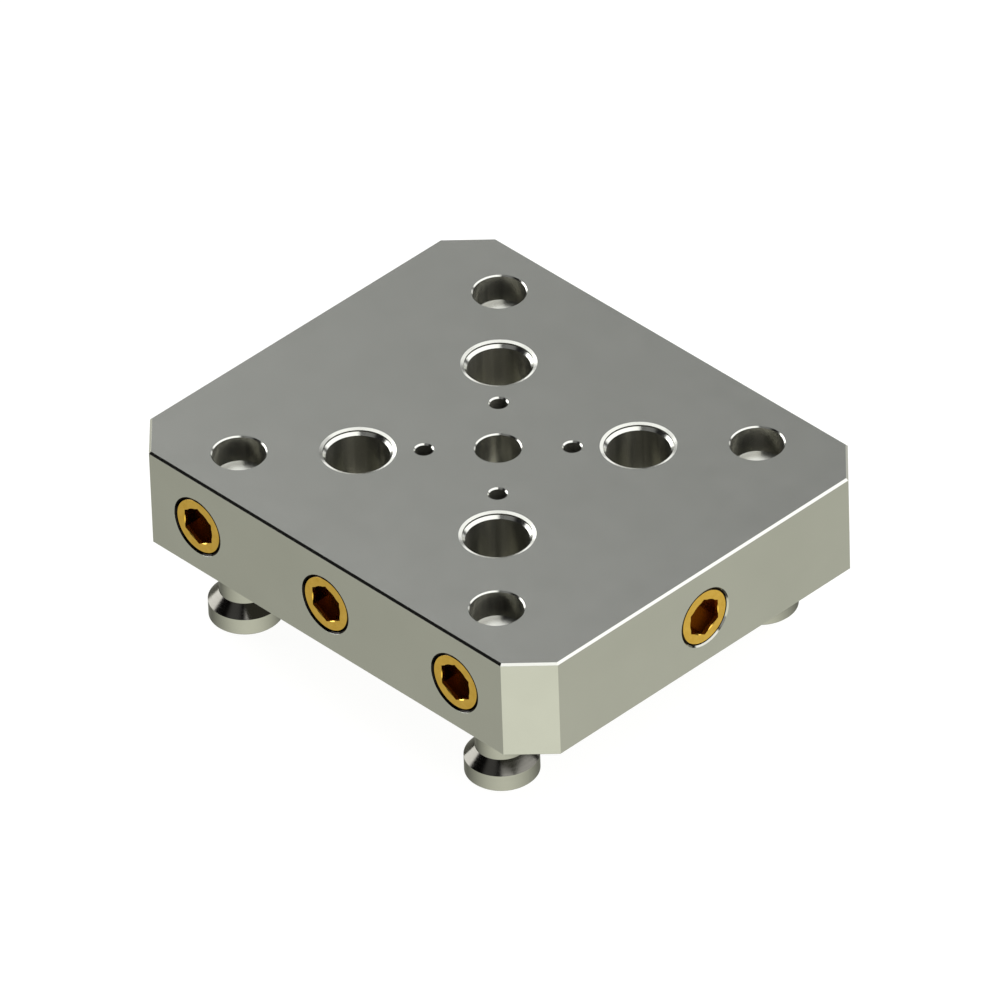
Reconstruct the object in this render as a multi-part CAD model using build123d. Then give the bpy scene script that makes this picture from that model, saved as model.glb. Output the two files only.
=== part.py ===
from build123d import *
import os
from math import radians, sqrt, tan

# Quick change fixture base adapter: a steel plate with four pull studs below and four
# receiver bores on top. A screw in the front face drives a wedge lock inside the plate.
#
# Frame, in millimetres: +Z is up. The origin is under the middle of the plate, level with
# the bottoms of the pull studs. X runs along the plate, and the front face looks to -Y.
# In the names, left is -X, right is +X, front is -Y and rear is +Y.

# Plate
plate_length = 152.0
plate_width = 128.0
plate_thickness = 30.0
corner_chamfer = 10.5
top_edge_chamfer = 0.6
bottom_edge_chamfer = 0.3

# Grids, centre to centre
stud_pitch = 96.0
receiver_pitch = 52.0
small_hole_pitch = 27.5

# Receiver bores: a shallow rim, a steep lead-in, a 45 degree ring, then the bore
receiver_radius = 8.5
receiver_mouth_radius = 10.2
receiver_rim_width = 0.9
receiver_rim_depth = 0.35
receiver_lead_radius = 9.25
receiver_lead_depth = 0.8
receiver_exit_chamfer = 0.5

# Other holes in the top face
centre_hole_radius = 6.0
centre_hole_depth = 9.3
corner_hole_radius = 7.1
corner_hole_depth = 8.0
corner_floor_slope = 20.0
hole_edge_chamfer = 0.35
small_hole_radius = 2.3
small_hole_depth = 12.0
small_hole_chamfer = 0.4

# Cross-drilled bores of the lock, all in one level plane
lock_depth = 15.5
lock_bore_radius = 5.55
lock_bore_end_gap = 1.0
mouth_radius = 8.35
mouth_edge_chamfer = 0.4
pin_bore_radius = 4.05

# Threaded screws and plugs with a hexagon socket
thread_clearance = 0.05
face_recess = 0.3
face_chamfer = 0.5
plug_length = 6.5
drive_screw_length = 12.0
thread_pitch = 2.0
drive_turns = 2.0
socket_across_flats = 10.0
socket_depth = 5.4
socket_rim_radius = 5.25
socket_rim_depth = 0.3
screw_end_chamfer = 1.0

# Wedge lock
slide_clearance = 0.05
wedge_gap = 0.05
nose_tip_beyond_axis = 2.0
end_face_offset = 0.25
rear_chamfer = 0.6
ramp_ratio = 0.7
notch_half_length = 4.5
piston_tail_length = 4.0
pin_end_beyond_axis = 0.2
pin_rest_recess = 0.5
pin_tip_chamfer = 1.0

# Pull studs
stud_height = 23.0
stud_rim_radius = 10.0
stud_rim_height = 5.1
stud_neck_radius = 7.0
stud_cone_height = 3.2
stud_edge_chamfer = 0.4
stud_pilot_radius = 6.0
stud_pilot_height = 2.0
pilot_clearance = 0.05
pilot_pocket_gap = 0.2

# Low-head cap screws that hold the pull studs
screw_radius = 4.0
screw_hole_gap = 0.25
screw_head_radius = 6.5
screw_head_height = 5.0
screw_head_recess = 1.5
screw_head_gap = 0.25
screw_length = 25.0
screw_socket_across_flats = 5.0
screw_socket_depth = 2.8
screw_head_chamfer = 0.5

# Places worked out from the sizes above
plate_bottom = stud_height
plate_top = plate_bottom + plate_thickness
lock_z = plate_top - lock_depth
drive_travel = thread_pitch * drive_turns
pin_travel = ramp_ratio * drive_travel
slide_radius = lock_bore_radius - slide_clearance
pin_radius = pin_bore_radius - slide_clearance
thread_radius = mouth_radius - thread_clearance
stud_axis = stud_pitch / 2
receiver_axis = receiver_pitch / 2
front_y = -plate_width / 2
right_x = plate_length / 2
side_bore_x = stud_axis
nose_tip_x = side_bore_x + nose_tip_beyond_axis
drive_screw_end_y = front_y + face_recess + drive_screw_length
diagonal_gap = wedge_gap * sqrt(2)
piston_tail_y = receiver_axis + notch_half_length + piston_tail_length
ramp_gap = wedge_gap * sqrt(1 + ramp_ratio**2)


def along_x(radius, x_from, x_to, y, z=lock_z):
    """A round bar or bore cutter that runs along X."""
    start = Plane(origin=(x_from, y, z), x_dir=(0, 1, 0), z_dir=(1, 0, 0))
    return extrude(start * Circle(radius), amount=x_to - x_from)


def along_y(radius, y_from, y_to, x, z=lock_z):
    """A round bar or bore cutter that runs along Y."""
    start = Plane(origin=(x, y_from, z), x_dir=(1, 0, 0), z_dir=(0, 1, 0))
    return extrude(start * Circle(radius), amount=y_to - y_from)


def upright(radius, z_from, z_to, x=0.0, y=0.0):
    """A round bar or bore cutter that runs along Z."""
    return extrude(Pos(x, y, z_from) * Circle(radius), amount=z_to - z_from)


def turned(profile):
    """A solid of revolution about Z from (radius, z) points on one side of the axis."""
    outline = Polyline(*[(radius, 0, z) for radius, z in profile], close=True)
    return revolve(make_face(outline), Axis.Z)


def from_above(outline, radius):
    """A slab in the level of the lock, with its outline given as (x, y) points."""
    face = make_face(Polyline(*outline, close=True))
    return extrude(Pos(0, 0, lock_z - 2 * radius) * face, amount=4 * radius)


def four_corners(half_pitch_x, half_pitch_y):
    """The corners of a rectangle about the plate's middle."""
    return [(sx * half_pitch_x, sy * half_pitch_y) for sx in (-1, 1) for sy in (-1, 1)]


def receiver_cutter():
    """The through bore with its stepped lead-in and a chamfer at the underside."""
    rim_radius = receiver_mouth_radius - receiver_rim_width
    second_depth = receiver_lead_depth + receiver_lead_radius - receiver_radius
    exit_radius = receiver_radius + receiver_exit_chamfer
    return turned([
        (0, plate_top),
        (receiver_mouth_radius, plate_top),
        (rim_radius, plate_top - receiver_rim_depth),
        (receiver_lead_radius, plate_top - receiver_lead_depth),
        (receiver_radius, plate_top - second_depth),
        (receiver_radius, plate_bottom + receiver_exit_chamfer),
        (exit_radius, plate_bottom),
        (0, plate_bottom),
    ])


def blind_hole_cutter(radius, depth, edge_chamfer, floor_slope=0.0):
    """A hole in the top face with a chamfered edge and a flat or conical floor."""
    floor_z = plate_top - depth
    tip_z = floor_z - radius * tan(radians(floor_slope))
    return turned([
        (0, plate_top),
        (radius + edge_chamfer, plate_top),
        (radius, plate_top - edge_chamfer),
        (radius, floor_z),
        (0, tip_z),
    ])


def mouth_cutter(length):
    """A threaded mouth: the face is at z = 0 and the hole runs to -Z."""
    return turned([
        (0, 0),
        (mouth_radius + mouth_edge_chamfer, 0),
        (mouth_radius, -mouth_edge_chamfer),
        (mouth_radius, -length),
        (0, -length),
    ])


def socket_cutter(across_flats, depth):
    """A hexagon socket that opens at z = 0 and runs to -Z, with corners up and down."""
    hexagon = RegularPolygon(across_flats / 2, side_count=6, major_radius=False, rotation=30)
    return extrude(hexagon, amount=-depth)


def socket_screw(length):
    """A headless screw with a hexagon socket: its outer face is at z = 0, its body below."""
    face_radius = thread_radius - face_chamfer
    end_radius = thread_radius - screw_end_chamfer
    body = turned([
        (0, 0),
        (face_radius, 0),
        (thread_radius, -face_chamfer),
        (thread_radius, -length + screw_end_chamfer),
        (end_radius, -length),
        (0, -length),
    ])
    rim = turned([
        (0, 0),
        (socket_rim_radius, 0),
        (socket_rim_radius - socket_rim_depth, -socket_rim_depth),
        (0, -socket_rim_depth),
    ])
    return body - socket_cutter(socket_across_flats, socket_depth) - rim


def front_face_plane(x, recess=0.0):
    """The plane at a mouth in the front face, with its normal out of the plate."""
    return Plane(origin=(x, front_y + recess, lock_z), x_dir=(1, 0, 0), z_dir=(0, -1, 0))


def right_face_plane(recess=0.0):
    """The plane at the mouth in the right face, with its normal out of the plate."""
    return Plane(origin=(right_x - recess, 0, lock_z), x_dir=(0, 1, 0), z_dir=(1, 0, 0))


def make_plate():
    """The plate with every hole, mouth and cross bore."""
    outline = chamfer(Rectangle(plate_length, plate_width).vertices(), corner_chamfer)
    plate = extrude(Pos(0, 0, plate_bottom) * outline, amount=plate_thickness)
    plate = chamfer(plate.edges().group_by(Axis.Z)[-1], top_edge_chamfer)
    plate = chamfer(plate.edges().group_by(Axis.Z)[0], bottom_edge_chamfer)

    cutters = []
    for x, y in four_corners(receiver_axis, receiver_axis):
        cutters.append(Pos(x, y, 0) * receiver_cutter())
    for x, y in four_corners(small_hole_pitch / 2, small_hole_pitch / 2):
        small_hole = blind_hole_cutter(small_hole_radius, small_hole_depth, small_hole_chamfer)
        cutters.append(Pos(x, y, 0) * small_hole)
    cutters.append(blind_hole_cutter(centre_hole_radius, centre_hole_depth, hole_edge_chamfer))

    pocket_height = stud_pilot_height + pilot_pocket_gap
    for x, y in four_corners(stud_axis, stud_axis):
        corner_hole = blind_hole_cutter(
            corner_hole_radius, corner_hole_depth, hole_edge_chamfer, corner_floor_slope)
        cutters.append(Pos(x, y, 0) * corner_hole)
        thread_hole_radius = screw_radius + thread_clearance
        cutters.append(upright(thread_hole_radius, plate_bottom, plate_top - corner_hole_depth, x, y))
        pocket_radius = stud_pilot_radius + pilot_clearance
        cutters.append(upright(pocket_radius, plate_bottom, plate_bottom + pocket_height, x, y))

    drive_mouth_length = face_recess + drive_screw_length + drive_travel + lock_bore_end_gap
    cutters.append(front_face_plane(0) * mouth_cutter(drive_mouth_length))
    plug_mouth_length = face_recess + plug_length
    for x in (-side_bore_x, side_bore_x):
        cutters.append(front_face_plane(x) * mouth_cutter(plug_mouth_length))
    cutters.append(right_face_plane() * mouth_cutter(plug_mouth_length))

    drive_bore_end = nose_tip_beyond_axis + drive_travel + lock_bore_end_gap
    cutters.append(along_y(lock_bore_radius, front_y, drive_bore_end, 0))
    cross_bore_end = nose_tip_x + drive_travel + lock_bore_end_gap
    cutters.append(along_x(lock_bore_radius, -cross_bore_end, right_x, 0))
    side_bore_end = piston_tail_y + drive_travel + lock_bore_end_gap
    for x in (-side_bore_x, side_bore_x):
        cutters.append(along_y(lock_bore_radius, front_y, side_bore_end, x))
    for y in (-receiver_axis, receiver_axis):
        cutters.append(along_x(pin_bore_radius, receiver_axis, side_bore_x, y))
        cutters.append(along_x(pin_bore_radius, -side_bore_x, -receiver_axis, y))
    return plate - cutters


def make_pull_stud():
    """A pull stud about Z: rim, cone, neck and pilot, bored for its cap screw."""
    cone_top = stud_rim_height + stud_cone_height
    pilot_top = stud_height + stud_pilot_height
    body = turned([
        (0, 0),
        (stud_rim_radius - stud_edge_chamfer, 0),
        (stud_rim_radius, stud_edge_chamfer),
        (stud_rim_radius, stud_rim_height),
        (stud_neck_radius, cone_top),
        (stud_neck_radius, stud_height),
        (stud_pilot_radius, stud_height),
        (stud_pilot_radius, pilot_top),
        (0, pilot_top),
    ])
    head_bore_depth = screw_head_recess + screw_head_height
    head_bore = upright(screw_head_radius + screw_head_gap, 0, head_bore_depth)
    shank_bore = upright(screw_radius + screw_hole_gap, 0, pilot_top)
    return body - head_bore - shank_bore


def make_stud_screw():
    """A low-head cap screw about Z, with its socket facing down."""
    seat_z = screw_head_recess + screw_head_height
    body = turned([
        (0, screw_head_recess),
        (screw_head_radius - screw_head_chamfer, screw_head_recess),
        (screw_head_radius, screw_head_recess + screw_head_chamfer),
        (screw_head_radius, seat_z),
        (screw_radius, seat_z),
        (screw_radius, seat_z + screw_length - screw_end_chamfer),
        (screw_radius - screw_end_chamfer, seat_z + screw_length),
        (0, seat_z + screw_length),
    ])
    socket_top = screw_head_recess + screw_socket_depth
    socket = Pos(0, 0, socket_top) * socket_cutter(screw_socket_across_flats, screw_socket_depth)
    return body - socket


def make_drive_wedge():
    """The push rod behind the drive screw, with a V nose that parts the cross rods."""
    rear_y = drive_screw_end_y + wedge_gap
    tip_y = nose_tip_beyond_axis
    shoulder_y = tip_y - slide_radius
    bar = along_y(slide_radius, rear_y, tip_y, 0)
    bar = chamfer(bar.edges().group_by(Axis.Y)[0], rear_chamfer)
    return bar & from_above([
        (-slide_radius, rear_y),
        (slide_radius, rear_y),
        (slide_radius, shoulder_y),
        (0, tip_y),
        (-slide_radius, shoulder_y),
    ], slide_radius)


def make_cross_rod():
    """The right cross rod: a bevel that meets the drive wedge, and a V nose outside."""
    bevel_reach = nose_tip_beyond_axis + diagonal_gap
    shoulder_x = nose_tip_x - slide_radius
    return along_x(slide_radius, 0, nose_tip_x, 0) & from_above([
        (end_face_offset, slide_radius),
        (end_face_offset, bevel_reach - end_face_offset),
        (bevel_reach + slide_radius, -slide_radius),
        (shoulder_x, -slide_radius),
        (nose_tip_x, 0),
        (shoulder_x, slide_radius),
    ], slide_radius)


def make_wedge_piston():
    """The rear right piston: a bevel at the cross rod's nose and a sloped notch for its pin."""
    inner_x = side_bore_x - slide_radius
    outer_x = side_bore_x + slide_radius
    bevel_reach = nose_tip_x + diagonal_gap
    ramp_x = side_bore_x + pin_end_beyond_axis + ramp_gap
    notch_end_y = receiver_axis + notch_half_length
    notch_floor_x = ramp_x + ramp_ratio * notch_half_length
    notch_start_y = receiver_axis - (ramp_x - inner_x) / ramp_ratio
    bar = along_y(slide_radius, end_face_offset, piston_tail_y, side_bore_x)
    bar = chamfer(bar.edges().group_by(Axis.Y)[-1], rear_chamfer)
    return bar & from_above([
        (outer_x, end_face_offset),
        (bevel_reach - end_face_offset, end_face_offset),
        (inner_x, bevel_reach - inner_x),
        (inner_x, notch_start_y),
        (notch_floor_x, notch_end_y),
        (inner_x, notch_end_y),
        (inner_x, piston_tail_y),
        (outer_x, piston_tail_y),
    ], slide_radius)


def make_locking_pin():
    """The rear right locking pin: a chamfered tip at the receiver and a sloped outer end."""
    tip_x = receiver_axis + receiver_radius + pin_rest_recess
    end_x = side_bore_x + pin_end_beyond_axis
    reach = ramp_ratio * pin_radius
    bar = along_x(pin_radius, tip_x, end_x + reach, receiver_axis)
    bar = chamfer(bar.edges().group_by(Axis.X)[0], pin_tip_chamfer)
    return bar & from_above([
        (tip_x, receiver_axis - pin_radius),
        (end_x - reach, receiver_axis - pin_radius),
        (end_x + reach, receiver_axis + pin_radius),
        (tip_x, receiver_axis + pin_radius),
    ], pin_radius)


def in_four_quadrants(name, rear_right):
    """Mirror a rear right piece into all four quadrants, each under its own name."""
    rear_left = mirror(rear_right, about=Plane.YZ)
    return {
        name + "_rear_right": rear_right,
        name + "_rear_left": rear_left,
        name + "_front_right": mirror(rear_right, about=Plane.XZ),
        name + "_front_left": mirror(rear_left, about=Plane.XZ),
    }


def make_parts():
    """Every piece of the adapter, by the name of its node."""
    parts = {
        "adapter_plate": make_plate(),
        "drive_screw": front_face_plane(0, face_recess) * socket_screw(drive_screw_length),
        "front_left_plug": front_face_plane(-side_bore_x, face_recess) * socket_screw(plug_length),
        "front_right_plug": front_face_plane(side_bore_x, face_recess) * socket_screw(plug_length),
        "side_plug": right_face_plane(face_recess) * socket_screw(plug_length),
        "drive_wedge": make_drive_wedge(),
    }
    right_rod = make_cross_rod()
    parts["cross_rod_right"] = right_rod
    parts["cross_rod_left"] = mirror(right_rod, about=Plane.YZ)
    parts.update(in_four_quadrants("wedge_piston", make_wedge_piston()))
    parts.update(in_four_quadrants("locking_pin", make_locking_pin()))
    rear_right_corner = Pos(stud_axis, stud_axis, 0)
    parts.update(in_four_quadrants("pull_stud", rear_right_corner * make_pull_stud()))
    parts.update(in_four_quadrants("stud_screw", rear_right_corner * make_stud_screw()))
    return parts


os.makedirs("parts", exist_ok=True)
for node_name, piece in make_parts().items():
    export_step(piece, f"parts/{node_name}.step")
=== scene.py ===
import math

import bpy
from mathutils import Matrix, Vector


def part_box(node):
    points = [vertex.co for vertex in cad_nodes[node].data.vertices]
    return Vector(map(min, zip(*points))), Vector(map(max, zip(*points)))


# A steel quick change adapter plate with four pull studs below, four receiver bores on top,
# and gold socket screws in two of its side faces. The CAD pieces carry every shape, and this
# script gives them their finish, the floor, the lights and the camera.

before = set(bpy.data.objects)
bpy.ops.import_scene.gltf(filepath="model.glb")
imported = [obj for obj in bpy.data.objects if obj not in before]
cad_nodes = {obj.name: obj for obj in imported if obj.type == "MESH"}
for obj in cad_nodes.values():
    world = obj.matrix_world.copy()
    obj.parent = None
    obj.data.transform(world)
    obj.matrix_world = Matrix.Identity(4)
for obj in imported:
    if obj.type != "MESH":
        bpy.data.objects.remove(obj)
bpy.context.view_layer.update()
MM = 0.001

plate_low, plate_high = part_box("adapter_plate")
plate_bottom = plate_low[2]
plate_top = plate_high[2]
half_length = plate_high[0]
half_width = plate_high[1]
CORNER_CHAMFER = 10.5 * MM

# The gold screws: their level, their reach, and the place of the outer two
screw_low, screw_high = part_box("drive_screw")
plug_low, plug_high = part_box("front_right_plug")
screw_level = (screw_low[2] + screw_high[2]) / 2
screw_radius = (screw_high[0] - screw_low[0]) / 2
outer_screw_x = (plug_low[0] + plug_high[0]) / 2
SCREW_FACE_CHAMFER = 0.5 * MM

# Camera, at the angle of the photograph
CAMERA_AZIMUTH = 46.52
CAMERA_ELEVATION = 37.75
CAMERA_ROLL = -2.0
CAMERA_DISTANCE = 4.7
CAMERA_FOCAL_PIXELS = 17948.0
CAMERA_SHIFT_RIGHT = 0.51 * MM
CAMERA_SHIFT_UP = -13.61 * MM
IMAGE_PIXELS = 1000.0
SENSOR_MM = 36.0


def add_camera():
    """A long lens far away, turned about the middle of the plate's top face."""
    azimuth = math.radians(CAMERA_AZIMUTH)
    elevation = math.radians(CAMERA_ELEVATION)
    back = Vector((
        math.sin(azimuth) * math.cos(elevation),
        -math.cos(azimuth) * math.cos(elevation),
        math.sin(elevation),
    ))
    level_right = Vector((math.cos(azimuth), math.sin(azimuth), 0))
    level_up = back.cross(level_right)
    roll = math.radians(CAMERA_ROLL)
    right = level_right * math.cos(roll) + level_up * math.sin(roll)
    up = level_up * math.cos(roll) - level_right * math.sin(roll)
    place = Vector((0, 0, plate_top)) + back * CAMERA_DISTANCE
    place += right * CAMERA_SHIFT_RIGHT + up * CAMERA_SHIFT_UP
    data = bpy.data.cameras.new("camera")
    data.sensor_width = SENSOR_MM
    data.lens = SENSOR_MM * CAMERA_FOCAL_PIXELS / IMAGE_PIXELS
    data.clip_end = 100
    camera = bpy.data.objects.new("camera", data)
    camera.matrix_world = Matrix((
        (right.x, up.x, back.x, place.x),
        (right.y, up.y, back.y, place.y),
        (right.z, up.z, back.z, place.z),
        (0, 0, 0, 1),
    ))
    bpy.context.scene.collection.objects.link(camera)
    bpy.context.scene.camera = camera


# Most of the noise lies between these two values
NOISE_LOW = 0.3
NOISE_HIGH = 0.7


class Tree:
    """Short names for making and joining the nodes of one shader tree."""

    def __init__(self, node_tree):
        self.nodes = node_tree.nodes
        self.links = node_tree.links

    def node(self, kind, **settings):
        made = self.nodes.new(kind)
        for key, value in settings.items():
            setattr(made, key, value)
        return made

    def feed(self, socket, value):
        """Set a socket to a plain value, or link it to another socket."""
        if isinstance(value, bpy.types.NodeSocket):
            self.links.new(value, socket)
        else:
            socket.default_value = value

    def math(self, operation, first, second=0.0):
        made = self.node("ShaderNodeMath", operation=operation)
        self.feed(made.inputs[0], first)
        self.feed(made.inputs[1], second)
        return made.outputs[0]

    def step(self, value, low, high, to_low=0.0, to_high=1.0):
        """A smooth step of a value between two limits, out to two chosen results."""
        made = self.node("ShaderNodeMapRange", interpolation_type="SMOOTHSTEP")
        self.feed(made.inputs["Value"], value)
        made.inputs["From Min"].default_value = low
        made.inputs["From Max"].default_value = high
        made.inputs["To Min"].default_value = to_low
        made.inputs["To Max"].default_value = to_high
        return made.outputs["Result"]

    def spread(self, value, low, high):
        """Noise, which mostly lies in NOISE_LOW..NOISE_HIGH, spread evenly over low..high."""
        made = self.node("ShaderNodeMapRange")
        self.feed(made.inputs["Value"], value)
        made.inputs["From Min"].default_value = NOISE_LOW
        made.inputs["From Max"].default_value = NOISE_HIGH
        made.inputs["To Min"].default_value = low
        made.inputs["To Max"].default_value = high
        return made.outputs["Result"]

    def noise(self, place, scale, detail=3.0, stretch=(1, 1, 1)):
        """Noise at a place, with a separate scale factor for each axis."""
        mapping = self.node("ShaderNodeMapping")
        mapping.inputs["Scale"].default_value = stretch
        texture = self.node("ShaderNodeTexNoise")
        texture.inputs["Scale"].default_value = scale
        texture.inputs["Detail"].default_value = detail
        self.feed(mapping.inputs["Vector"], place)
        self.feed(texture.inputs["Vector"], mapping.outputs["Vector"])
        return texture.outputs["Fac"]

    def mix(self, factor, first, second):
        """A blend of two colours, each a socket or an (r, g, b) tuple."""
        made = self.node("ShaderNodeMix", data_type="RGBA")
        self.feed(made.inputs["Factor"], factor)
        for socket, colour in ((made.inputs[6], first), (made.inputs[7], second)):
            if not isinstance(colour, bpy.types.NodeSocket):
                colour = (*colour, 1)
            self.feed(socket, colour)
        return made.outputs[2]

    def blend(self, factor, first, second):
        """A blend of two numbers, each a socket or a plain value."""
        made = self.node("ShaderNodeMix", data_type="FLOAT")
        self.feed(made.inputs["Factor"], factor)
        self.feed(made.inputs[2], first)
        self.feed(made.inputs[3], second)
        return made.outputs[0]

    def parts(self, vector):
        """The three components of a vector socket."""
        made = self.node("ShaderNodeSeparateXYZ")
        self.feed(made.inputs[0], vector)
        return made.outputs

    def bump(self, height, strength, distance):
        made = self.node("ShaderNodeBump")
        made.inputs["Strength"].default_value = strength
        made.inputs["Distance"].default_value = distance
        self.feed(made.inputs["Height"], height)
        return made.outputs["Normal"]


def new_metal(name):
    """An empty metal: its material, its tree, its shader, and the object's coordinates."""
    material = bpy.data.materials.new(name)
    material.use_nodes = True
    tree = Tree(material.node_tree)
    shader = material.node_tree.nodes["Principled BSDF"]
    shader.inputs["Metallic"].default_value = 1.0
    coordinates = tree.node("ShaderNodeTexCoord")
    return material, tree, shader, coordinates


# The plate's colours
GROUND_DARK = (0.535, 0.545, 0.52)
GROUND_LIGHT = (0.575, 0.585, 0.56)
EDGE_TONE = (0.66, 0.665, 0.63)
SIDE_MOUTH_TONE = (0.5, 0.5, 0.46)
# Painted shade: the chamfers round the screw mouths in the front and back faces are near
# black, standing in for the shadow in the gap round the screws
FRONT_MOUTH_PAINTED_SHADE = (0.012, 0.011, 0.010)
# Bore walls: drawn tool-mark streaks, over a tone kept dark as painted shade down the bores
BORE_SHADED_DARK = (0.17, 0.17, 0.145)
BORE_SHADED_LIGHT = (0.40, 0.39, 0.34)
# Painted shade: the plate's bottom face is dark, standing in for the shadow under the plate
UNDERSIDE_PAINTED_SHADE = (0.14, 0.14, 0.13)

# The plate's roughnesses, as limits where noise moves them. A bore's wall is drawn and a
# little dull, so that it isn't wholly metallic
GROUND_ROUGHNESS = (0.24, 0.27)
BORED_ROUGHNESS = (0.16, 0.26)
OUTER_EDGE_ROUGHNESS = 0.1
INNER_EDGE_ROUGHNESS = 0.17
HOLE_FLOOR_ROUGHNESS = 0.22
BORED_METALLIC = 0.75

# Where the plate's finish changes: depths below its outer skin, and a surface's tilt, which
# is 0 on an upright wall and 1 on a level face
CHAMFER_DEPTH = (0.015 * MM, 0.04 * MM)
INSIDE_DEPTH = (0.62 * MM, 0.7 * MM)
UNDERSIDE_DEPTH = (0.01 * MM, 0.03 * MM)
MOUTH_DEPTH = (0.9 * MM, 1.1 * MM)
FRONT_FACE_DEPTH = (0.7 * MM, 0.8 * MM)
HOLE_FLOOR_DEPTH = (3 * MM, 4 * MM)
WALL_TILT = (0.2, 0.3)


def plate_steel():
    """Ground faces, smooth bright edge chamfers, and bores with drawn tool marks that are
    darkened by painted shade. Painted shade also darkens the underside and the front screw
    mouths.
    """
    material, tree, shader, coordinates = new_metal("ground_steel")
    place = coordinates.outputs["Object"]
    x, y, z = tree.parts(place)
    normal_z = tree.math("ABSOLUTE", tree.parts(coordinates.outputs["Normal"])[2])

    # How far a point lies inside the plate's outer skin, in metres
    far_x = tree.math("ABSOLUTE", x)
    far_y = tree.math("ABSOLUTE", y)
    from_ends = tree.math("SUBTRACT", half_length, far_x)
    from_sides = tree.math("SUBTRACT", half_width, far_y)
    corner_sum = half_length + half_width - CORNER_CHAMFER
    from_corner = tree.math("SUBTRACT", corner_sum, tree.math("ADD", far_x, far_y))
    from_corner = tree.math("MULTIPLY", from_corner, math.sqrt(0.5))
    from_top = tree.math("SUBTRACT", plate_top, z)
    from_bottom = tree.math("SUBTRACT", z, plate_bottom)
    side_depth = tree.math("MINIMUM", from_ends, from_sides)
    side_depth = tree.math("MINIMUM", side_depth, from_corner)
    depth = tree.math("MINIMUM", side_depth, tree.math("MINIMUM", from_top, from_bottom))

    chamfer = tree.step(depth, *CHAMFER_DEPTH)
    inside = tree.step(side_depth, *INSIDE_DEPTH)
    wall = tree.math("MULTIPLY", inside, tree.step(normal_z, *WALL_TILT, 1.0, 0.0))
    underside = tree.step(from_bottom, *UNDERSIDE_DEPTH, 1.0, 0.0)
    in_side_face = tree.math(
        "MULTIPLY",
        tree.step(tree.math("MINIMUM", from_top, from_bottom), *MOUTH_DEPTH),
        tree.step(side_depth, *MOUTH_DEPTH, 1.0, 0.0),
    )
    in_front_face = tree.step(from_ends, *FRONT_FACE_DEPTH)
    hole_floor = tree.math("MULTIPLY", inside, tree.step(from_top, *HOLE_FLOOR_DEPTH))

    drift = tree.noise(place, scale=9.0, detail=2.0)
    cloud = tree.noise(place, scale=60.0, detail=4.0)
    mottle = tree.math("ADD", tree.spread(drift, 0, 0.5), tree.spread(cloud, 0, 0.5))
    ground = tree.mix(mottle, GROUND_DARK, GROUND_LIGHT)
    # Screw mouths: a plain tone on the end faces, and painted shade near black on the front
    # and back faces
    mouth = tree.mix(in_front_face, SIDE_MOUTH_TONE, FRONT_MOUTH_PAINTED_SHADE)
    edge = tree.mix(in_side_face, EDGE_TONE, mouth)
    streak = tree.noise(place, scale=260.0, detail=2.0, stretch=(1, 1, 0.02))
    # Painted shade down the bore walls, with real drawn streaks through it
    bore_shade_and_marks = tree.mix(tree.spread(streak, 0, 1), BORE_SHADED_DARK, BORE_SHADED_LIGHT)
    colour = tree.mix(chamfer, ground, edge)
    colour = tree.mix(wall, colour, bore_shade_and_marks)
    # Painted shade on the bottom face
    colour = tree.mix(underside, colour, UNDERSIDE_PAINTED_SHADE)
    tree.feed(shader.inputs["Base Color"], colour)

    grain = tree.noise(place, scale=150.0, detail=2.0)
    rough = tree.spread(grain, *GROUND_ROUGHNESS)
    smooth = tree.blend(inside, OUTER_EDGE_ROUGHNESS, INNER_EDGE_ROUGHNESS)
    smooth = tree.blend(hole_floor, smooth, HOLE_FLOOR_ROUGHNESS)
    rough = tree.blend(chamfer, rough, smooth)
    rough = tree.blend(wall, rough, tree.spread(streak, *BORED_ROUGHNESS))
    tree.feed(shader.inputs["Roughness"], rough)
    tree.feed(shader.inputs["Metallic"], tree.blend(wall, 1.0, BORED_METALLIC))
    return material


# The height that a full bump stands for, on all the finely grained metals
BUMP_HEIGHT = 0.01 * MM

STUD_DARK = (0.36, 0.365, 0.345)
STUD_LIGHT = (0.42, 0.425, 0.395)
# Painted shade: the cone is dark, standing in for the plate's shadow over it
CONE_PAINTED_SHADE = (0.17, 0.165, 0.15)
STUD_ROUGHNESS = (0.12, 0.2)

# The cone's upward tilt lies between these two pairs
CONE_TILT_FROM = (0.5, 0.6)
CONE_TILT_TO = (0.8, 0.9)


def stud_steel():
    """Turned steel with fine rings about a vertical axis, with painted shade darkening the
    cone.
    """
    material, tree, shader, coordinates = new_metal("turned_steel")
    place = coordinates.outputs["Object"]
    normal_z = tree.parts(coordinates.outputs["Normal"])[2]
    cone = tree.math(
        "MULTIPLY",
        tree.step(normal_z, *CONE_TILT_FROM),
        tree.step(normal_z, *CONE_TILT_TO, 1.0, 0.0),
    )
    rings = tree.noise(place, scale=2600.0, detail=2.0, stretch=(0.04, 0.04, 1))
    drift = tree.noise(place, scale=60.0, detail=3.0)
    colour = tree.mix(tree.spread(drift, 0, 1), STUD_DARK, STUD_LIGHT)
    # Painted shade on the cone
    tree.feed(shader.inputs["Base Color"], tree.mix(cone, colour, CONE_PAINTED_SHADE))
    tree.feed(shader.inputs["Roughness"], tree.spread(rings, *STUD_ROUGHNESS))
    tree.feed(shader.inputs["Normal"], tree.bump(rings, strength=0.04, distance=BUMP_HEIGHT))
    return material


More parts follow.
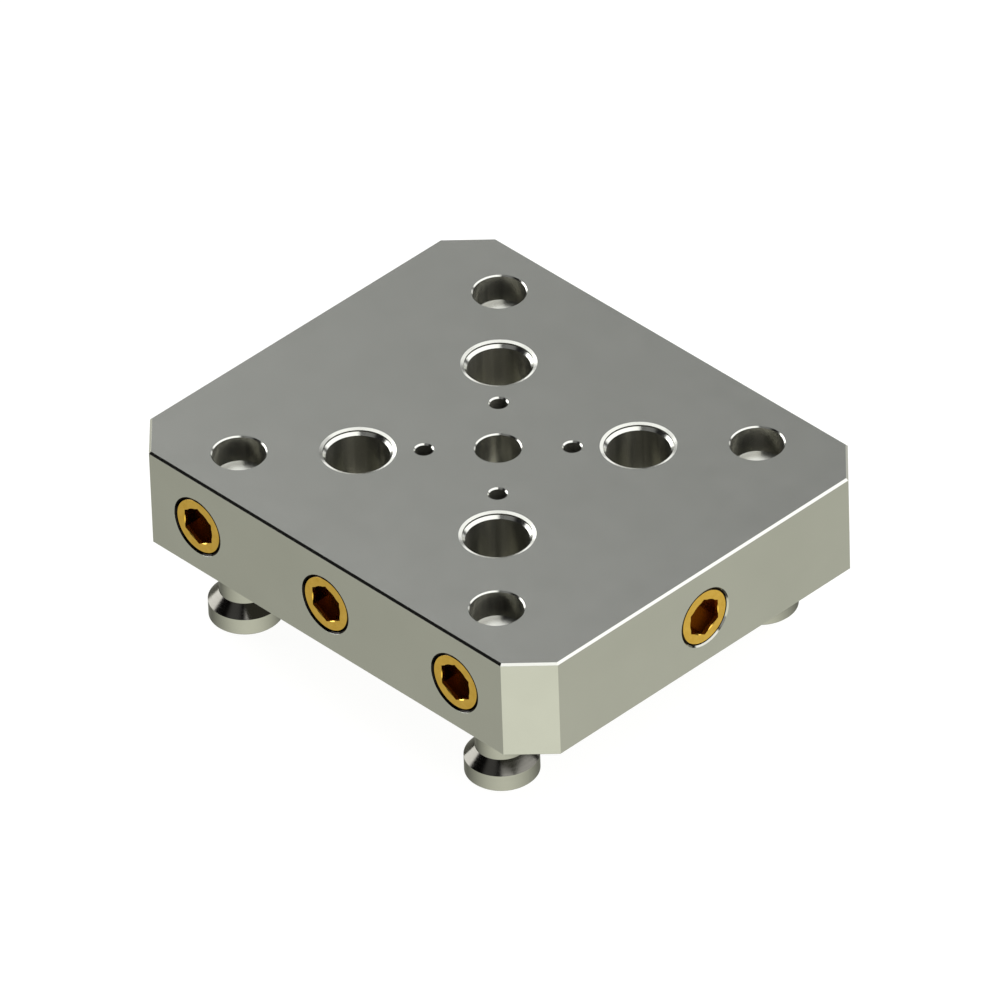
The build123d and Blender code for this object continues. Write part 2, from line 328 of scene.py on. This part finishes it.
def sliding_steel(name, dark, light, rough_low, rough_high):
    """Hardened and ground steel with fine even grain."""
    material, tree, shader, coordinates = new_metal(name)
    place = coordinates.outputs["Object"]
    grain = tree.noise(place, scale=1500.0, detail=4.0)
    drift = tree.noise(place, scale=80.0, detail=3.0)
    tree.feed(shader.inputs["Base Color"], tree.mix(tree.spread(drift, 0, 1), dark, light))
    tree.feed(shader.inputs["Roughness"], tree.spread(grain, rough_low, rough_high))
    tree.feed(shader.inputs["Normal"], tree.bump(grain, strength=0.05, distance=BUMP_HEIGHT))
    return material


GOLD_DARK = (0.80, 0.49, 0.075)
GOLD_LIGHT = (0.90, 0.57, 0.11)
# Painted shade: dark brown down the socket and near black in the groove at the face's rim,
# standing in for the shadow in these hollows
SOCKET_PAINTED_SHADE = (0.24, 0.115, 0.015)
GROOVE_PAINTED_SHADE = (0.035, 0.025, 0.01)
GOLD_ROUGHNESS = (0.16, 0.24)
SOCKET_DEPTH = (0.9 * MM, 1.3 * MM)

# The groove's painted shade starts this far within and is full this far past the face's rim
GROOVE_BEFORE = 0.02 * MM
GROOVE_PAST = 0.04 * MM


def gold_zinc(name, axis, face, inward):
    """Gold zinc on a socket screw whose outer face crosses an axis at a place. Painted shade
    turns it dark brown down the socket and almost black on the chamfer where the thread
    starts."""
    material, tree, shader, coordinates = new_metal(name)
    place = coordinates.outputs["Object"]
    parts = tree.parts(place)
    depth = tree.math("MULTIPLY", tree.math("SUBTRACT", parts[axis], face), inward)
    across = tree.math("ABSOLUTE", parts[1 - axis])
    to_outer = tree.math("ABSOLUTE", tree.math("SUBTRACT", across, outer_screw_x))
    across = tree.math("MINIMUM", across, to_outer)
    level = tree.math("SUBTRACT", parts[2], screw_level)
    across_squared = tree.math("MULTIPLY", across, across)
    level_squared = tree.math("MULTIPLY", level, level)
    radius = tree.math("SQRT", tree.math("ADD", across_squared, level_squared))
    face_radius = screw_radius - SCREW_FACE_CHAMFER
    groove = tree.step(radius, face_radius - GROOVE_BEFORE, face_radius + GROOVE_PAST)
    cloud = tree.noise(place, scale=500.0, detail=3.0)
    coat = tree.mix(tree.spread(cloud, 0, 1), GOLD_DARK, GOLD_LIGHT)
    # Painted shade down the socket and in the groove
    socket_shade_mask = tree.step(depth, *SOCKET_DEPTH)
    colour = tree.mix(socket_shade_mask, coat, SOCKET_PAINTED_SHADE)
    tree.feed(shader.inputs["Base Color"], tree.mix(groove, colour, GROOVE_PAINTED_SHADE))
    grain = tree.noise(place, scale=2200.0, detail=3.0)
    tree.feed(shader.inputs["Roughness"], tree.spread(grain, *GOLD_ROUGHNESS))
    tree.feed(shader.inputs["Normal"], tree.bump(grain, strength=0.05, distance=BUMP_HEIGHT))
    return material


def dress(material, *names):
    """Give each named CAD node this one material."""
    for name in names:
        slots = cad_nodes[name].data.materials
        slots.clear()
        slots.append(material)


def nodes_starting(prefix):
    """The names of the CAD nodes that begin with a prefix."""
    return [name for name in cad_nodes if name.startswith(prefix)]


def dress_everything():
    """One finish for each kind of piece."""
    front_face = screw_low[1]
    side_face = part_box("side_plug")[1][0]
    dress(plate_steel(), "adapter_plate")
    front_gold = gold_zinc("gold_zinc_front", axis=1, face=front_face, inward=1.0)
    dress(front_gold, "drive_screw", "front_left_plug", "front_right_plug")
    side_gold = gold_zinc("gold_zinc_side", axis=0, face=side_face, inward=-1.0)
    dress(side_gold, "side_plug")
    dress(stud_steel(), *nodes_starting("pull_stud"))
    wedge_steel = sliding_steel(
        "wedge_steel",
        dark=(0.36, 0.36, 0.35),
        light=(0.42, 0.42, 0.41),
        rough_low=0.22,
        rough_high=0.32,
    )
    dress(wedge_steel, "drive_wedge")
    dress(wedge_steel, *nodes_starting("cross_rod"), *nodes_starting("wedge_piston"))
    pin_steel = sliding_steel(
        "pin_steel",
        dark=(0.55, 0.55, 0.54),
        light=(0.62, 0.62, 0.60),
        rough_low=0.15,
        rough_high=0.22,
    )
    dress(pin_steel, *nodes_starting("locking_pin"))
    black_oxide = sliding_steel(
        "black_oxide",
        dark=(0.03, 0.03, 0.032),
        light=(0.05, 0.05, 0.05),
        rough_low=0.35,
        rough_high=0.5,
    )
    dress(black_oxide, *nodes_starting("stud_screw"))


# The floor lies a hair below the studs, so that their under faces and the floor don't coincide
FLOOR_GAP = 0.05 * MM
FLOOR_SIZE = 40
FLOOR_GREY = (0.13, 0.13, 0.13, 1)
FLOOR_GLOW = (1, 1, 0.99, 1)
FLOOR_GLOW_STRENGTH = 0.96


def add_floor():
    """A wide pale floor under the pull studs. The steel doesn't mirror it: what the steel
    sees from below is the lower half of the studio round it."""
    bpy.ops.mesh.primitive_plane_add(size=FLOOR_SIZE, location=(0, 0, -FLOOR_GAP))
    floor = bpy.context.object
    floor.name = "floor"
    material = bpy.data.materials.new("pale_floor")
    material.use_nodes = True
    shader = material.node_tree.nodes["Principled BSDF"]
    shader.inputs["Base Color"].default_value = FLOOR_GREY
    shader.inputs["Roughness"].default_value = 0.9
    shader.inputs["Specular IOR Level"].default_value = 0.0
    shader.inputs["Emission Color"].default_value = FLOOR_GLOW
    shader.inputs["Emission Strength"].default_value = FLOOR_GLOW_STRENGTH
    floor.data.materials.append(material)
    floor.visible_glossy = False


def towards(azimuth, elevation):
    """The unit vector at an azimuth, counted from +X towards +Y, and an elevation."""
    a = math.radians(azimuth)
    e = math.radians(elevation)
    return (math.cos(a) * math.cos(e), math.sin(a) * math.cos(e), math.sin(e))


# Soft windows of the studio: azimuth and elevation of the middle, radius, soft edge, strength
WINDOWS = (
    (35, 38, 41, 5, 1.6),
    (0, 60, 29, 3, 1.6),
    (-175, 12, 28, 5, 3.4),
    (136, 37, 47, 3, 1.4),
    (-44, 16, 22, 8, 0.45),
    (97, 2, 12, 6, 1.0),
    (-88, 49, 14, 8, 0.22),
)
DARK_DOME = 0.01

# The studio's lower half: its mean, what it gains towards the camera and towards the right,
# the least that it has, and the share that is left straight below
BELOW_MEAN = 0.60
BELOW_TO_CAMERA = 0.63
BELOW_TO_RIGHT = 0.07
BELOW_LEAST = 0.25
STRAIGHT_BELOW = 0.12
CAMERA_SIDE_AZIMUTH = -44
RIGHT_SIDE_AZIMUTH = 44
BELOW_TINT = (1.0, 1.0, 0.84)
ABOVE_TINT = (1.0, 1.0, 0.98)

# Heights on a unit sphere between which straight below and the horizon blend
STRAIGHT_BELOW_BLEND = (-0.88, -0.74)
HORIZON_BLEND = (-0.06, 0.06)

# The grey card that the top face mirrors, and how its grey falls off, per metre
CARD_AZIMUTH = 136.1
CARD_ELEVATION = 37.4
CARD_DISTANCE = 0.6
CARD_SIZE = 0.5
CARD_GREY = 0.40
CARD_FALL_X = -0.70
CARD_FALL_Y = -1.52
CARD_TINT = (1, 1, 0.97, 1)


def add_card():
    """A grey card behind and above the plate, where the camera sees it in the top face. It
    is brighter towards the front left. Only mirrored light meets it."""
    direction = Vector(towards(CARD_AZIMUTH, CARD_ELEVATION))
    middle = direction * CARD_DISTANCE + Vector((0, 0, plate_top))
    bpy.ops.mesh.primitive_plane_add(size=CARD_SIZE, location=middle)
    card = bpy.context.object
    card.name = "grey_card"
    card.rotation_euler = direction.to_track_quat("Z", "Y").to_euler()
    material = bpy.data.materials.new("card_grey")
    material.use_nodes = True
    tree = Tree(material.node_tree)
    place = tree.node("ShaderNodeNewGeometry").outputs["Position"]
    parts = tree.parts(place)
    from_middle_x = tree.math("SUBTRACT", parts[0], middle.x)
    from_middle_y = tree.math("SUBTRACT", parts[1], middle.y)
    fall_x = tree.math("MULTIPLY", from_middle_x, CARD_GREY * CARD_FALL_X)
    fall_y = tree.math("MULTIPLY", from_middle_y, CARD_GREY * CARD_FALL_Y)
    grey = tree.math("ADD", tree.math("ADD", fall_x, fall_y), CARD_GREY)
    shader = material.node_tree.nodes["Principled BSDF"]
    shader.inputs["Base Color"].default_value = (0, 0, 0, 1)
    shader.inputs["Specular IOR Level"].default_value = 0.0
    shader.inputs["Emission Color"].default_value = CARD_TINT
    tree.feed(shader.inputs["Emission Strength"], grey)
    card.data.materials.append(material)
    card.visible_camera = False
    card.visible_diffuse = False
    card.visible_shadow = False


def add_studio():
    """Light from all round: a dark dome with soft windows, over a pale lower half that is
    brightest towards the camera's side and dark straight below."""
    world = bpy.data.worlds.new("studio")
    world.use_nodes = True
    tree = Tree(world.node_tree)
    look = tree.node("ShaderNodeTexCoord").outputs["Generated"]

    def facing(direction):
        made = tree.node("ShaderNodeVectorMath", operation="DOT_PRODUCT")
        tree.feed(made.inputs[0], look)
        made.inputs[1].default_value = direction
        return made.outputs["Value"]

    above = DARK_DOME
    for azimuth, elevation, radius, edge, strength in WINDOWS:
        dot = facing(towards(azimuth, elevation))
        outer = math.cos(math.radians(radius + edge))
        inner = math.cos(math.radians(radius - edge))
        above = tree.math("MAXIMUM", tree.step(dot, outer, inner, 0.0, strength), above)
    to_camera = facing(towards(CAMERA_SIDE_AZIMUTH, 0))
    to_right = facing(towards(RIGHT_SIDE_AZIMUTH, 0))
    below = tree.math("ADD", tree.math("MULTIPLY", to_camera, BELOW_TO_CAMERA), BELOW_MEAN)
    below = tree.math("ADD", tree.math("MULTIPLY", to_right, BELOW_TO_RIGHT), below)
    below = tree.math("MAXIMUM", below, BELOW_LEAST)
    height = tree.parts(look)[2]
    not_straight = tree.step(height, *STRAIGHT_BELOW_BLEND)
    below = tree.math("MULTIPLY", below, tree.blend(not_straight, STRAIGHT_BELOW, 1.0))
    upper = tree.step(height, *HORIZON_BLEND)
    strength = tree.blend(upper, below, above)
    tint = tree.mix(upper, BELOW_TINT, ABOVE_TINT)
    background = world.node_tree.nodes["Background"]
    tree.feed(background.inputs["Color"], tint)
    tree.feed(background.inputs["Strength"], strength)
    bpy.context.scene.world = world


add_camera()
dress_everything()
add_floor()
add_card()
add_studio()
bpy.context.scene.view_settings.view_transform = "Standard"
